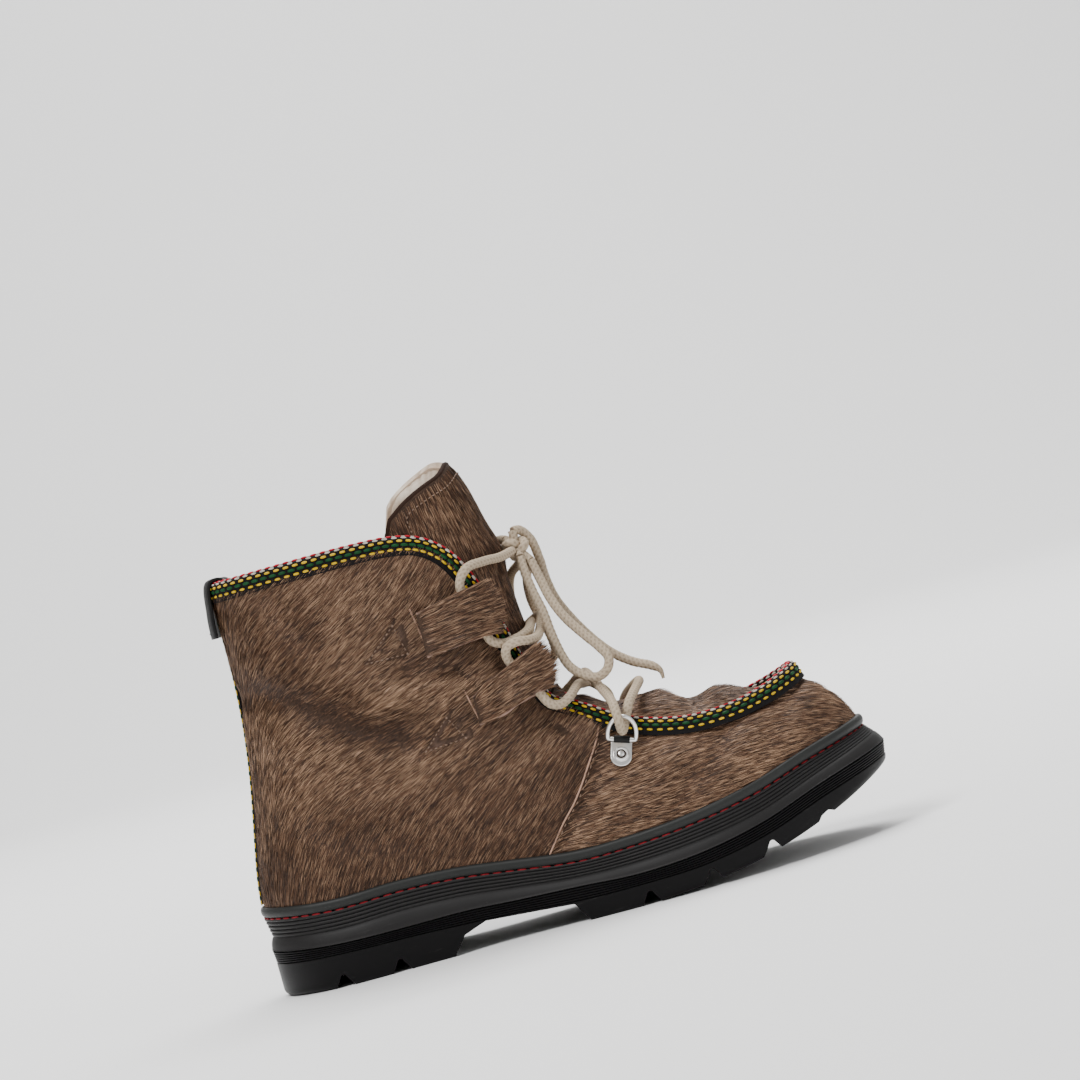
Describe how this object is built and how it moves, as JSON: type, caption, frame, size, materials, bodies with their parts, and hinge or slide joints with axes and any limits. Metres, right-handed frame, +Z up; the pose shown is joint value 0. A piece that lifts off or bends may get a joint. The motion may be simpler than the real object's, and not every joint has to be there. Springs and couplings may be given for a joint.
{
  "type": "mukluk boot",
  "caption": "Right ankle boot in hair-on calf: moccasin toe with apron, woven edge binding, laced straps and rings, tall tongue, ribbed and lugged rubber sole.",
  "frame": {"origin": "on the floor under the middle of the boot's bounding box, laces left out", "axes": "+X from heel to toe, +Y to the boot's inner (medial) side, +Z up"},
  "size_m": [0.2802, 0.1019, 0.2029],
  "materials": {
    "outsole_rubber": "lugged, slightly glossy",
    "midsole_rubber": "satin",
    "rand_rubber": "satin",
    "footbed": "matte",
    "hair_on_calf": "short hair",
    "tongue_calf": "short hair",
    "apron_calf": "short hair",
    "strap_calf": "short hair",
    "woven_tape": "woven wool",
    "woven_strip": "woven wool",
    "black_leather": "smooth",
    "nickel": "nickel plate",
    "cotton_lace": "braided"
  },
  "bodies": {
    "root": {"outsole": "outsole_rubber", "midsole": "midsole_rubber", "welt": "rand_rubber", "insole": "footbed", "upper": "hair_on_calf", "tongue": "tongue_calf", "apron": "apron_calf", "edge_binding": "woven_tape", "back_strip": "woven_strip", "pull_tab": "black_leather", "lace_crossings": "cotton_lace", "lace_end_lateral": "cotton_lace", "lace_end_medial": "cotton_lace", "lace_knot": "cotton_lace", "lace_loop_lateral": "cotton_lace", "lace_loop_medial": "cotton_lace", "ring_lateral": "nickel", "ring_medial": "nickel", "ring_plate_lateral": "nickel", "ring_plate_medial": "nickel", "rivet_lateral": "nickel", "rivet_medial": "nickel", "strap_lower_lateral": "strap_calf", "strap_lower_medial": "strap_calf", "strap_upper_lateral": "strap_calf", "strap_upper_medial": "strap_calf"}
  },
  "joints": []
}
